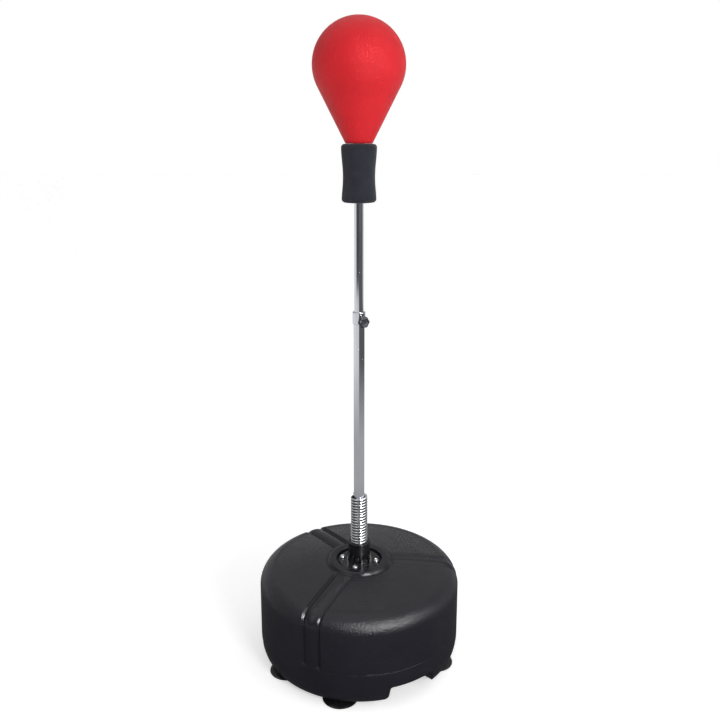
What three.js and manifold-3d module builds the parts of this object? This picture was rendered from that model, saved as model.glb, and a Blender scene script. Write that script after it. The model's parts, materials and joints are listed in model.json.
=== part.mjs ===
// Free-standing speed bag platform: a ballast tank on suction cups, a close-wound spring, a
// two-piece telescopic pole with a clamp knob, a foam sleeve and a pear-shaped ball.
// Millimetres, +Z up, origin on the floor under the pole's axis.
// The front of the stand is -Y and its right side is +X.
import * as THREE from 'three';
import { mergeVertices } from 'three/addons/utils/BufferGeometryUtils.js';
import Module from 'manifold-3d';

const wasm = await Module();
wasm.setup();

// ---------------------------------------------------------------- driving dimensions

const GAP = 0.3; // clearance kept between pieces that touch on the real stand
const TURN = 2 * Math.PI;

// ballast tank
const TANK_RADIUS = 240;
const TANK_BOTTOM = 13; // height of the tank's flat underside above the floor
const DOME_HEIGHT = 236;
const DOME_DROP = 14; // the dome falls this far before the shoulder starts
const SHOULDER_RADIUS = 38;
const SHOULDER_START = 84; // the shoulder leaves the dome at this many degrees above level
const WALL_LOW = 60; // the straight side wall starts here
const LOWER_EDGE_INSET = 20; // how far the lower edge rounds in
const TANK_WALL = 6;
const TANK_SIDES = 48; // flat facets round the tank
const GROOVE_DEPTH = 3;
const GROOVE_WIDTH = 4;
const GROOVE_OFFSET = 19.8; // from the middle of a channel to each of its two grooves
const GROOVE_LOW = 91; // grooves end this high on the side wall
const CHANNEL_ANGLES = [-26.8, 93.2, 213.2]; // degrees from the front towards the right
const NOTCH_ANGLE = 27; // width of each gap between two foot lugs, in degrees
const NOTCH_TURN = 58; // from the middle of a channel to the middle of the next gap
const NOTCH_RADIUS = 158;
const NOTCH_TOP = 51;

// moulded ring that holds the flange
const RING_OUTER = 74;
const RING_FOOT = 79; // radius where the ring's sloping flank meets the dome
const RING_INNER = 54.5;
const RING_TOP = 240;
const RING_EDGE = 3; // chamfer round the top
const RING_SINK = 12; // how far the ring is sunk into the dome
const RECESS_FLOOR = 229;
const BOSS_DEPTH = 32; // solid material under the recess, for the insert nuts

// filler, on the rear wall
const FILLER_HEIGHT = 158;
const FILLER_HOLE = 18;
const FILLER_POCKET = 29;
const FILLER_POCKET_FLOOR = 227; // distance of the pocket's floor from the pole's axis
const FILLER_BOSS = 33;
const FILLER_DEPTH = 16; // solid material behind the pocket's floor
const SEAL_THICKNESS = 2;
const CAP_PLUG = 17.4;
const CAP_PLUG_LENGTH = 14;
const CAP_FLANGE = 26;
const CAP_FLANGE_THICKNESS = 4;
const CAP_GRIP = [38, 7, 6];

// suction cups
const CUP_RADIUS = 41;
const CUP_RING = 195; // distance of a cup's middle from the pole's axis
const CUP_ANGLES = [-12.5, -61, 71, 107.5, 179, 227.5];
const CUP_STEM = 7;
const CUP_STEM_LENGTH = 12;

// flange with its socket, and what holds it
const FLANGE_RADIUS = 50;
const FLANGE_THICKNESS = 6;
const SOCKET_RADIUS = 25.5;
const SOCKET_RIM = 26.6;
const SOCKET_RIM_HEIGHT = 5;
const SOCKET_TOP = 285;
const SOCKET_BORE = 20.7;
const SOCKET_FLOOR = 254;
const RIB_COUNT = 8;
const RIB_THICKNESS = 3;
const RIB_REACH = 6.5; // how far a rib's foot stands out from the socket
const RIB_STEP = 7; // height of the rib's steep lower part
const RIB_HEIGHT = 30;
const BOLT_CIRCLE = 41.5;
const BOLT_ANGLES = [77, 167, 257, 347]; // degrees from +X towards +Y
const BOLT_SHANK = 2.9;
const BOLT_LENGTH = 24;
const BOLT_HEAD = 6;
const INSERT_RADIUS = 5;
const INSERT_LENGTH = 18;
const WASHER_RADIUS = 6.6;
const ANCHOR_SHANK = 5.8;
const ANCHOR_LENGTH = 40;
const ANCHOR_HEX = 19; // across flats
const ANCHOR_HEAD = 7;

// main spring
const SPRING_MEAN = 17.2;
const WIRE_RADIUS = 2.95;
const SPRING_PITCH = 6.95;
const SPRING_LOW = 254.6; // underside of the lowest coil
const SPRING_HIGH = 404.5; // top of the highest coil
const SPRING_PLUG = 13.1;
const SPRING_PLUG_LOW = 20; // length of the plug in the lowest coils
const SPRING_PLUG_HIGH = 12; // and of the one in the highest coils
const POLE_SPIGOT = 30; // how far the upper plug reaches into the pole

// pole
const LOWER_TUBE = 12.7;
const LOWER_TUBE_BORE = 11.5;
const LOWER_TUBE_END = 386;
const LOWER_TUBE_TOP = 850;
const UPPER_TUBE = 11.0;
const UPPER_TUBE_BORE = 9.8;
const UPPER_TUBE_END = 702;
const UPPER_TUBE_TOP = 1180;
const BUSH_FLANGE = 4;
const BUSH_LENGTH = 22;

// height clamp
const COLLAR_RADIUS = 15;
const COLLAR_LOW = 823.5;
const COLLAR_HIGH = 851;
const COLLAR_EDGE = 0.8;
const CLAMP_HEIGHT = 832;
const CLAMP_ANGLE = 25; // degrees from the front towards the right
const CLAMP_BOSS = 7.5;
const CLAMP_BOSS_END = 20;
const PAD_RADIUS = 3.4;
const PAD_HOLE = 3.8;
const PAD_LENGTH_SPARE = 5; // the pad ends this far inside the boss
const SCREW_RADIUS = 3;
const SCREW_IN_KNOB = 6;
const KNOB_RADIUS = 12.9;
const KNOB_THICKNESS = 9.5;
const KNOB_LOBES = 6;
const KNOB_WAVE = 1.3; // how far the gaps between the lobes are cut in, from the middle radius
const KNOB_EDGE = 1.2;

// foam sleeve and ball
const SLEEVE_LOW = 1098.7;
const SLEEVE_HIGH = 1225.6;
const SLEEVE_BOTTOM_RADIUS = 38.3;
const SLEEVE_WAIST_RADIUS = 35.3;
const SLEEVE_TOP_RADIUS = 39.5;
const SLEEVE_EDGE = 4;
const SLEEVE_SOCKET = 17; // radius and depth of the hollow round the ball's fixing
const SLEEVE_SOCKET_DEPTH = 50;
const BALL_RADIUS = 101;
const BALL_CENTRE = 1391;
const NECK_SLOPE = 26.8; // half angle of the ball's tapered neck, in degrees
const NECK_END = 1226.4;
const COVER_THICKNESS = 3;
const BLADDER_THICKNESS = 2;
const BLADDER_START = 24; // height of the bladder's underside above the end of the neck
const VALVE_RADIUS = 2.8;
const VALVE_BORE = 0.8;
const VALVE_LENGTH = 12;
const STUD_RADIUS = 4.9;
const STUD_LENGTH = 82;
const STUD_HOLE = 5.2;
const TOP_PLUG_LENGTH = 30;
const NUT_HEIGHT = 8;
const NUT_HEX = 17;
const FITTING_RADIUS = 13;
const FITTING_FLANGE = 22;
const FITTING_LENGTH = 50;
const BALL_SIDES = 28; // flat facets round the ball
const BALL_STEPS = 8; // and from its neck to its crown

// ---------------------------------------------------------------- materials

function material(name, color, roughness, metalness) {
  const made = new THREE.MeshStandardMaterial({ color, roughness, metalness });
  made.name = name;
  return made;
}

const TANK_PLASTIC = material('tank_plastic', 0x26262b, 0.45, 0);
const GLOSS_PLASTIC = material('gloss_plastic', 0x111113, 0.2, 0);
const KNOB_PLASTIC = material('knob_plastic', 0x2c2e34, 0.35, 0);
const NYLON = material('nylon', 0xe6e3d8, 0.5, 0);
const CHROME = material('chrome', 0xd8dade, 0.12, 1);
const STEEL = material('steel', 0x9a9da2, 0.35, 1);
const BRASS = material('brass', 0xb5924c, 0.35, 1);
const RUBBER = material('rubber', 0x101012, 0.55, 0);
const FOAM = material('foam', 0x2b2b31, 0.95, 0);
const BALL_LEATHER = material('ball_leather', 0xcf2a2f, 0.6, 0);
const BLADDER_RUBBER = material('bladder_rubber', 0x3a3230, 0.7, 0);

// ---------------------------------------------------------------- solids

// A closed three.js geometry as a manifold solid, its faces pointing out.
function solid(geometry) {
  const bare = geometry.clone();
  bare.deleteAttribute('normal');
  bare.deleteAttribute('uv');
  const merged = mergeVertices(bare, 1e-4);
  const place = merged.attributes.position;
  const corners = merged.index.array;
  const kept = [];
  let volume = 0;
  for (let i = 0; i < corners.length; i += 3) {
    const [a, b, c] = [corners[i], corners[i + 1], corners[i + 2]];
    if (a === b || b === c || c === a) continue;
    kept.push(a, b, c);
    const [pa, pb, pc] = [a, b, c].map((k) => new THREE.Vector3().fromBufferAttribute(place, k));
    volume += pa.dot(pb.cross(pc));
  }
  if (volume < 0) kept.reverse();
  return new wasm.Manifold(new wasm.Mesh({
    numProp: 3,
    vertProperties: new Float32Array(place.array),
    triVerts: new Uint32Array(kept),
  }));
}

// A manifold solid as a three.js geometry.
function geometryOf(made) {
  const mesh = made.getMesh();
  const geometry = new THREE.BufferGeometry();
  geometry.setAttribute('position', new THREE.BufferAttribute(mesh.vertProperties, 3));
  geometry.setIndex(new THREE.BufferAttribute(mesh.triVerts, 1));
  geometry.computeVertexNormals();
  return geometry;
}

// A body of revolution about Z from [radius, height] points.
function turned(points, segments) {
  const profile = points.map(([radius, height]) => new THREE.Vector2(radius, height));
  return solid(new THREE.LatheGeometry(profile, segments).rotateX(Math.PI / 2));
}

function disc(radius, low, high, segments = 24) {
  return turned([[0, low], [radius, low], [radius, high], [0, high]], segments);
}

function sleeve(outer, inner, low, high, segments = 24) {
  return turned([[inner, low], [outer, low], [outer, high], [inner, high], [inner, low]], segments);
}

function hexPrism(acrossFlats, low, high) {
  return disc(acrossFlats / Math.sqrt(3), low, high, 6);
}

// Turns a solid that stands along +Z so that it lies along +Y instead.
function alongY(made) {
  return made.rotate([-90, 0, 0]);
}

function boxSolid(width, depth, height, x, y, z) {
  return solid(new THREE.BoxGeometry(width, depth, height).translate(x, y, z));
}

// Points on a quarter of an ellipse, from angle a to angle b in degrees.
function arc(centreR, centreZ, radiusR, radiusZ, from, to, steps) {
  const points = [];
  for (let i = 0; i <= steps; i++) {
    const angle = THREE.MathUtils.degToRad(from + ((to - from) * i) / steps);
    points.push([centreR + radiusR * Math.cos(angle), centreZ + radiusZ * Math.sin(angle)]);
  }
  return points;
}

// Unit direction at an angle measured from the front (-Y) towards the right (+X).
function fromFront(degrees) {
  const angle = THREE.MathUtils.degToRad(degrees);
  return new THREE.Vector3(Math.sin(angle), -Math.cos(angle), 0);
}

const stand = new THREE.Group();

function add(parent, name, made, finish) {
  const mesh = new THREE.Mesh(geometryOf(made), finish);
  mesh.name = name;
  parent.add(mesh);
  return mesh;
}

// ---------------------------------------------------------------- ballast tank

// The tank's outline from the dome's middle to the underside, pulled in by an inset.
function tankProfile(inset, steps) {
  const dome = DOME_HEIGHT - inset;
  const shoulderR = TANK_RADIUS - SHOULDER_RADIUS;
  const shoulderZ = DOME_HEIGHT - DOME_DROP - SHOULDER_RADIUS;
  const points = [];
  for (let i = 0; i < 4; i++) {
    const r = (shoulderR * i) / 4;
    points.push([r, dome - DOME_DROP * (r / shoulderR) ** 2]);
  }
  const shoulder = SHOULDER_RADIUS - inset;
  points.push(...arc(shoulderR, shoulderZ, shoulder, shoulder, SHOULDER_START, 0, steps));
  const lowR = TANK_RADIUS - LOWER_EDGE_INSET;
  const bottom = TANK_BOTTOM + inset;
  points.push(...arc(lowR, WALL_LOW, LOWER_EDGE_INSET - inset, WALL_LOW - bottom, 0, -90, 3));
  points.push([0, bottom]);
  return points;
}

// The gap between two foot lugs, grown on all sides by a margin.
function lugNotch(middle, margin) {
  const half = NOTCH_ANGLE / 2 + THREE.MathUtils.radToDeg(margin / TANK_RADIUS);
  const shape = new THREE.Shape();
  const inner = NOTCH_RADIUS - margin;
  const outer = TANK_RADIUS + 30;
  const corners = [[inner, -half], [outer, -half], [outer, half], [inner, half]];
  corners.forEach(([radius, turn], i) => {
    const p = fromFront(middle + turn).multiplyScalar(radius);
    if (i === 0) shape.moveTo(p.x, p.y);
    else shape.lineTo(p.x, p.y);
  });
  const height = NOTCH_TOP + margin;
  return solid(new THREE.ExtrudeGeometry(shape, { depth: height, bevelEnabled: false }));
}

// One slab that cuts a groove parallel to a channel's middle plane.
function grooveSlab(channel, offset) {
  const length = TANK_RADIUS - RING_OUTER;
  const height = DOME_HEIGHT - GROOVE_LOW;
  const middle = RING_FOOT + length / 2;
  const slab = boxSolid(length, GROOVE_WIDTH, height, middle, offset, GROOVE_LOW + height / 2);
  return slab.rotate([0, 0, channel - 90]);
}

function tankSolid() {
  let body = turned(tankProfile(0, 5), TANK_SIDES);
  for (const channel of CHANNEL_ANGLES) {
    for (const side of [-1, 1]) {
      body = body.subtract(grooveSlab(channel, side * GROOVE_OFFSET));
    }
  }
  body = body.add(turned(tankProfile(GROOVE_DEPTH, 5), TANK_SIDES));
  let cavity = turned(tankProfile(TANK_WALL, 3), 32);
  for (const channel of CHANNEL_ANGLES) {
    const gap = channel + NOTCH_TURN;
    body = body.subtract(lugNotch(gap, 0));
    cavity = cavity.subtract(lugNotch(gap, TANK_WALL));
  }
  // thick places that stay solid: under the flange, round the filler and over each cup
  cavity = cavity.subtract(disc(RING_OUTER - 6, RECESS_FLOOR - BOSS_DEPTH, DOME_HEIGHT, 32));
  const fillerBoss = alongY(disc(FILLER_BOSS, FILLER_POCKET_FLOOR - FILLER_DEPTH, TANK_RADIUS));
  cavity = cavity.subtract(fillerBoss.translate([0, 0, FILLER_HEIGHT]));
  for (const angle of CUP_ANGLES) {
    const at = fromFront(angle).multiplyScalar(CUP_RING);
    const top = TANK_BOTTOM + CUP_STEM_LENGTH + TANK_WALL;
    cavity = cavity.subtract(disc(CUP_STEM + TANK_WALL, 0, top, 12).translate([at.x, at.y, 0]));
    const hole = disc(CUP_STEM + GAP, 0, TANK_BOTTOM + CUP_STEM_LENGTH + GAP, 16);
    body = body.subtract(hole.translate([at.x, at.y, 0]));
  }
  // raised ring and the recess inside it
  const footHeight = DOME_HEIGHT - DOME_DROP * (RING_FOOT / (TANK_RADIUS - SHOULDER_RADIUS)) ** 2;
  const rim = turned([
    [0, DOME_HEIGHT - RING_SINK],
    [RING_FOOT, DOME_HEIGHT - RING_SINK],
    [RING_FOOT, footHeight],
    [RING_OUTER, RING_TOP - RING_EDGE],
    [RING_OUTER - RING_EDGE, RING_TOP],
    [0, RING_TOP],
  ], TANK_SIDES);
  body = body.add(rim).subtract(disc(RING_INNER, RECESS_FLOOR, RING_TOP + 5, TANK_SIDES));
  for (const angle of BOLT_ANGLES) {
    const turn = THREE.MathUtils.degToRad(angle);
    const x = BOLT_CIRCLE * Math.cos(turn);
    const y = BOLT_CIRCLE * Math.sin(turn);
    const hole = disc(INSERT_RADIUS + GAP, RECESS_FLOOR - BOLT_LENGTH - 2, RING_TOP, 12);
    body = body.subtract(hole.translate([x, y, 0]));
  }
  // filler: a pocket for the cap and the hole into the chamber
  const pocket = alongY(disc(FILLER_POCKET, FILLER_POCKET_FLOOR, TANK_RADIUS + 10, 32));
  const hole = alongY(disc(FILLER_HOLE, FILLER_POCKET_FLOOR - 40, TANK_RADIUS, 24));
  body = body.subtract(pocket.translate([0, 0, FILLER_HEIGHT]));
  return body.subtract(cavity).subtract(hole.translate([0, 0, FILLER_HEIGHT]));
}

// ---------------------------------------------------------------- filler cap and its seal

function addFiller(parent) {
  const filler = new THREE.Group();
  filler.position.set(0, FILLER_POCKET_FLOOR, FILLER_HEIGHT);
  filler.rotation.x = -Math.PI / 2;
  parent.add(filler);
  const ring = sleeve(CAP_FLANGE - 1, FILLER_HOLE + 0.5, 0, SEAL_THICKNESS, 32);
  add(filler, 'filler_seal', ring, RUBBER).position.z = GAP;
  const under = SEAL_THICKNESS + 2 * GAP;
  const plug = turned([
    [0, -CAP_PLUG_LENGTH],
    [CAP_PLUG, -CAP_PLUG_LENGTH],
    [CAP_PLUG, under],
    [CAP_FLANGE, under],
    [CAP_FLANGE, under + CAP_FLANGE_THICKNESS],
    [0, under + CAP_FLANGE_THICKNESS],
  ], 32);
  const grip = boxSolid(...CAP_GRIP, 0, 0, under + CAP_GRIP[2]);
  add(filler, 'filler_cap', plug.add(grip), GLOSS_PLASTIC);
}

// ---------------------------------------------------------------- suction cups

function suctionCupSolid() {
  const lip = CUP_RADIUS;
  const top = TANK_BOTTOM - GAP;
  return turned([
    [0, 4.5],
    [lip - 10, 0],
    [lip, 0],
    [lip, 1.4],
    [lip - 16, 7],
    [CUP_STEM + 4, top],
    [CUP_STEM, top],
    [CUP_STEM, TANK_BOTTOM + CUP_STEM_LENGTH],
    [0, TANK_BOTTOM + CUP_STEM_LENGTH],
  ], 20);
}

function addCups(parent) {
  CUP_ANGLES.forEach((angle, i) => {
    const cup = add(parent, `suction_cup_${i + 1}`, suctionCupSolid(), RUBBER);
    cup.position.copy(fromFront(angle)).multiplyScalar(CUP_RING);
  });
}

// ---------------------------------------------------------------- flange, socket and bolts

function socketFlangeSolid() {
  const low = RECESS_FLOOR + GAP;
  const top = low + FLANGE_THICKNESS;
  let body = turned([
    [0, low],
    [FLANGE_RADIUS, low],
    [FLANGE_RADIUS, top - 1.5],
    [FLANGE_RADIUS - 1.5, top],
    [SOCKET_RADIUS, top],
    [SOCKET_RADIUS, SOCKET_TOP - SOCKET_RIM_HEIGHT - 1],
    [SOCKET_RIM, SOCKET_TOP - SOCKET_RIM_HEIGHT],
    [SOCKET_RIM, SOCKET_TOP],
    [0, SOCKET_TOP],
  ], 40);
  for (let i = 0; i < RIB_COUNT; i++) {
    const shape = new THREE.Shape();
    const inside = SOCKET_BORE + 1.5;
    shape.moveTo(inside, top - 1);
    shape.lineTo(SOCKET_RADIUS + RIB_REACH, top - 1);
    shape.lineTo(SOCKET_RADIUS + RIB_REACH - 1, top + RIB_STEP);
    shape.lineTo(inside, top + RIB_HEIGHT);
    const rib = solid(new THREE.ExtrudeGeometry(shape, { depth: RIB_THICKNESS, bevelEnabled: false }));
    const upright = rib.translate([0, 0, -RIB_THICKNESS / 2]).rotate([90, 0, 0]);
    const turn = BOLT_ANGLES[0] + 180 / RIB_COUNT + (360 * i) / RIB_COUNT;
    body = body.add(upright.rotate([0, 0, turn]));
  }
  body = body.subtract(disc(SOCKET_BORE, SOCKET_FLOOR, SOCKET_TOP + 5, 32));
  body = body.subtract(disc(ANCHOR_SHANK + GAP, 0, SOCKET_TOP, 16));
  body = body.subtract(hexPrism(ANCHOR_HEX + 2 * GAP, 0, low + ANCHOR_HEAD + 1));
  for (const angle of BOLT_ANGLES) {
    const turn = THREE.MathUtils.degToRad(angle);
    const hole = disc(BOLT_SHANK + GAP, 0, SOCKET_TOP, 12);
    const x = BOLT_CIRCLE * Math.cos(turn);
    const y = BOLT_CIRCLE * Math.sin(turn);
    body = body.subtract(hole.translate([x, y, 0]));
  }
  return body;
}

function addFlange(parent) {
  add(parent, 'socket_flange', socketFlangeSolid(), GLOSS_PLASTIC);
  const flangeTop = RECESS_FLOOR + GAP + FLANGE_THICKNESS;
  BOLT_ANGLES.forEach((angle, i) => {
    const turn = THREE.MathUtils.degToRad(angle);
    const at = new THREE.Group();
    at.position.set(BOLT_CIRCLE * Math.cos(turn), BOLT_CIRCLE * Math.sin(turn), flangeTop);
    at.rotation.z = turn;
    parent.add(at);
    const ring = sleeve(WASHER_RADIUS, BOLT_SHANK + GAP, 0, 1, 12);
    add(at, `flange_washer_${i + 1}`, ring, STEEL).position.z = GAP;
    const head = turned([
      [0, -BOLT_LENGTH],
      [BOLT_SHANK, -BOLT_LENGTH],
      [BOLT_SHANK, 0],
      [BOLT_HEAD, 0],
      [BOLT_HEAD, 1.6],
      [BOLT_HEAD - 1.6, 3.2],
      [0, 4],
    ], 12);
    const cross = boxSolid(6, 1.4, 4, 0, 0, 4).add(boxSolid(1.4, 6, 4, 0, 0, 4));
    const bolt = add(at, `flange_bolt_${i + 1}`, head.subtract(cross), CHROME);
    bolt.position.z = 1 + 2 * GAP;
    const nut = sleeve(INSERT_RADIUS, BOLT_SHANK + GAP, 0, INSERT_LENGTH, 12);
    const insert = add(at, `insert_nut_${i + 1}`, nut, BRASS);
    insert.position.z = -FLANGE_THICKNESS - 2 * GAP - INSERT_LENGTH;
  });
}

function addSpringAnchor(parent) {
  const head = hexPrism(ANCHOR_HEX, 0, ANCHOR_HEAD);
  const shank = disc(ANCHOR_SHANK, ANCHOR_HEAD - 1, ANCHOR_LENGTH, 16);
  add(parent, 'anchor_bolt', head.add(shank), STEEL).position.z = RECESS_FLOOR + 2 * GAP;
  const plug = sleeve(SPRING_PLUG, ANCHOR_SHANK + GAP, 0, SPRING_PLUG_LOW);
  add(parent, 'lower_spring_plug', plug, STEEL).position.z = SOCKET_FLOOR + GAP;
}

// ---------------------------------------------------------------- main spring

class Helix extends THREE.Curve {
  constructor(radius, pitch, turns) {
    super();
    this.radius = radius;
    this.pitch = pitch;
    this.turns = turns;
  }

  getPoint(t, target = new THREE.Vector3()) {
    const angle = TURN * this.turns * t;
    const height = this.pitch * this.turns * t;
    return target.set(this.radius * Math.cos(angle), this.radius * Math.sin(angle), height);
  }
}

function wireSection(sides) {
  const shape = new THREE.Shape();
  for (let i = 0; i < sides; i++) {
    const angle = (TURN * (i + 0.5)) / sides;
    const x = WIRE_RADIUS * Math.cos(angle);
    const y = WIRE_RADIUS * Math.sin(angle);
    if (i === 0) shape.moveTo(x, y);
    else shape.lineTo(x, y);
  }
  return shape;
}

function addSpring(parent) {
  const turns = (SPRING_HIGH - SPRING_LOW - 2 * WIRE_RADIUS) / SPRING_PITCH;
  const path = new Helix(SPRING_MEAN, SPRING_PITCH, turns);
  const steps = Math.round(turns * 12);
  const along = { steps, extrudePath: path, bevelEnabled: false };
  const coil = new THREE.ExtrudeGeometry(wireSection(5), along);
  const spring = add(parent, 'main_spring', solid(coil), CHROME);
  spring.position.z = SPRING_LOW + WIRE_RADIUS;
  spring.rotation.z = -Math.PI / 2;
}

// ---------------------------------------------------------------- lower pole

function clampDirection() {
  return CLAMP_ANGLE - 180; // turns a piece that lies along +Y towards the clamp's side
}

function lowerTubeSolid() {
  const body = sleeve(LOWER_TUBE, LOWER_TUBE_BORE, 0, LOWER_TUBE_TOP - LOWER_TUBE_END, 32);
  const hole = alongY(disc(PAD_HOLE, 5, CLAMP_BOSS_END, 16)).rotate([0, 0, clampDirection()]);
  return body.subtract(hole.translate([0, 0, CLAMP_HEIGHT - LOWER_TUBE_END]));
}

function clampCollarSolid() {
  const middle = CLAMP_HEIGHT - COLLAR_LOW;
  const height = COLLAR_HIGH - COLLAR_LOW;
  const boss = alongY(disc(CLAMP_BOSS, 0, CLAMP_BOSS_END, 20)).rotate([0, 0, clampDirection()]);
  const hole = alongY(disc(PAD_HOLE, 0, CLAMP_BOSS_END + 2, 16)).rotate([0, 0, clampDirection()]);
  return turned([
    [0, 0],
    [COLLAR_RADIUS - COLLAR_EDGE, 0],
    [COLLAR_RADIUS, COLLAR_EDGE],
    [COLLAR_RADIUS, height - COLLAR_EDGE],
    [COLLAR_RADIUS - COLLAR_EDGE, height],
    [0, height],
  ], 32)
    .add(boss.translate([0, 0, middle]))
    .subtract(disc(LOWER_TUBE + GAP, -1, height + 1, 32))
    .subtract(hole.translate([0, 0, middle]));
}

function addLowerPole(parent) {
  const plug = turned([
    [0, 0],
    [SPRING_PLUG, 0],
    [SPRING_PLUG, SPRING_PLUG_HIGH],
    [LOWER_TUBE_BORE - GAP, SPRING_PLUG_HIGH],
    [LOWER_TUBE_BORE - GAP, SPRING_PLUG_HIGH + POLE_SPIGOT],
    [0, SPRING_PLUG_HIGH + POLE_SPIGOT],
  ], 24);
  add(parent, 'upper_spring_plug', plug, STEEL).position.z = LOWER_TUBE_END - GAP - SPRING_PLUG_HIGH;
  add(parent, 'lower_tube', lowerTubeSolid(), CHROME).position.z = LOWER_TUBE_END;
  add(parent, 'clamp_collar', clampCollarSolid(), CHROME).position.z = COLLAR_LOW;
}

// ---------------------------------------------------------------- clamp screw and knob

function starSection(radius) {
  const shape = new THREE.Shape();
  const count = KNOB_LOBES * 6;
  for (let i = 0; i < count; i++) {
    const angle = (TURN * i) / count;
    const reach = radius - KNOB_WAVE + KNOB_WAVE * Math.cos(KNOB_LOBES * angle);
    const x = reach * Math.cos(angle);
    const y = reach * Math.sin(angle);
    if (i === 0) shape.moveTo(x, y);
    else shape.lineTo(x, y);
  }
  return shape;
}

function addClamp(parent) {
  const clamp = new THREE.Group();
  clamp.position.z = CLAMP_HEIGHT;
  clamp.rotation.set(-Math.PI / 2, 0, THREE.MathUtils.degToRad(clampDirection()), 'ZXY');
  parent.add(clamp);
  const padEnd = CLAMP_BOSS_END - PAD_LENGTH_SPARE;
  add(clamp, 'friction_pad', disc(PAD_RADIUS, UPPER_TUBE + GAP, padEnd, 16), NYLON);
  const knobLow = CLAMP_BOSS_END + 0.8;
  const screwEnd = knobLow + SCREW_IN_KNOB;
  add(clamp, 'clamp_screw', disc(SCREW_RADIUS, padEnd + GAP, screwEnd, 16), STEEL);
  const star = new THREE.ExtrudeGeometry(starSection(KNOB_RADIUS - KNOB_EDGE), {
    depth: KNOB_THICKNESS - 2 * KNOB_EDGE,
    bevelThickness: KNOB_EDGE,
    bevelSize: KNOB_EDGE,
    bevelSegments: 1,
  });
  const socket = disc(SCREW_RADIUS + GAP, -5, SCREW_IN_KNOB - KNOB_EDGE + GAP, 16);
  const knob = add(clamp, 'clamp_knob', solid(star).subtract(socket), KNOB_PLASTIC);
  knob.position.z = knobLow + KNOB_EDGE;
}

// ---------------------------------------------------------------- upper pole

function addUpperPole(parent) {
  const bush = turned([
    [0, 0],
    [UPPER_TUBE + 0.2, 0],
    [UPPER_TUBE + 0.2, BUSH_FLANGE],
    [UPPER_TUBE_BORE - GAP, BUSH_FLANGE],
    [UPPER_TUBE_BORE - GAP, BUSH_LENGTH],
    [0, BUSH_LENGTH],
  ], 24);
  add(parent, 'guide_bush', bush, NYLON).position.z = UPPER_TUBE_END - GAP - BUSH_FLANGE;
  const tube = sleeve(UPPER_TUBE, UPPER_TUBE_BORE, 0, UPPER_TUBE_TOP - UPPER_TUBE_END, 32);
  add(parent, 'upper_tube', tube, CHROME).position.z = UPPER_TUBE_END;
}

// ---------------------------------------------------------------- foam sleeve

// Radius of the waisted sleeve at a height given as a share of its length.
function sleeveRadius(share) {
  const ends = SLEEVE_BOTTOM_RADIUS + (SLEEVE_TOP_RADIUS - SLEEVE_BOTTOM_RADIUS) * share;
  const waist = Math.sin(Math.PI * share ** 0.85);
  return ends - (ends - SLEEVE_WAIST_RADIUS) * waist ** 2;
}

function foamSleeveSolid() {
  const length = SLEEVE_HIGH - SLEEVE_LOW;
  const bore = UPPER_TUBE + GAP;
  const points = [[bore, 0], [SLEEVE_BOTTOM_RADIUS - SLEEVE_EDGE, 0]];
  const steps = 6;
  for (let i = 0; i <= steps; i++) {
    const z = SLEEVE_EDGE + ((length - 2 * SLEEVE_EDGE) * i) / steps;
    points.push([sleeveRadius(z / length), z]);
  }
  const hollow = length - SLEEVE_SOCKET_DEPTH;
  points.push([SLEEVE_TOP_RADIUS - SLEEVE_EDGE, length], [SLEEVE_SOCKET, length]);
  points.push([SLEEVE_SOCKET, hollow], [bore, hollow], [bore, 0]);
  return turned(points, 24);
}

// ---------------------------------------------------------------- ball and its fixing

// The ball's outline from the neck's edge to the crown, pulled in by an inset: a sphere with a
// cone that leaves it on a tangent.
function ballProfile(inset, neck, steps) {
  const radius = BALL_RADIUS - inset;
  const slope = THREE.MathUtils.degToRad(NECK_SLOPE);
  const tangentR = radius * Math.cos(slope);
  const tangentZ = BALL_CENTRE - radius * Math.sin(slope);
  const neckR = tangentR - (tangentZ - neck) * Math.tan(slope);
  return [[neckR, neck], ...arc(0, BALL_CENTRE, radius, radius, -NECK_SLOPE, 90, steps)];
}

function valveHole() {
  const hole = alongY(disc(VALVE_RADIUS + GAP, BALL_RADIUS - 20, BALL_RADIUS + 10, 12));
  return hole.translate([0, 0, BALL_CENTRE]);
}

function hollowBall(inset, thickness, neck, opening) {
  const outer = ballProfile(inset, neck, BALL_STEPS);
  const inner = ballProfile(inset + thickness, neck + thickness, BALL_STEPS);
  outer[outer.length - 1][0] = 0;
  inner[inner.length - 1][0] = 0;
  const around = [[opening, neck], ...outer, ...inner.reverse()];
  around.push([opening, neck + thickness], [opening, neck]);
  return turned(around, BALL_SIDES).subtract(valveHole());
}

function bladderSolid() {
  const [outer, inner] = [0, BLADDER_THICKNESS].map((wall) => {
    const neck = NECK_END + BLADDER_START + wall;
    const outline = ballProfile(COVER_THICKNESS + 1 + wall, neck, BALL_STEPS);
    return turned([[0, neck], ...outline], BALL_SIDES);
  });
  return outer.subtract(inner).subtract(valveHole());
}

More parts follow.
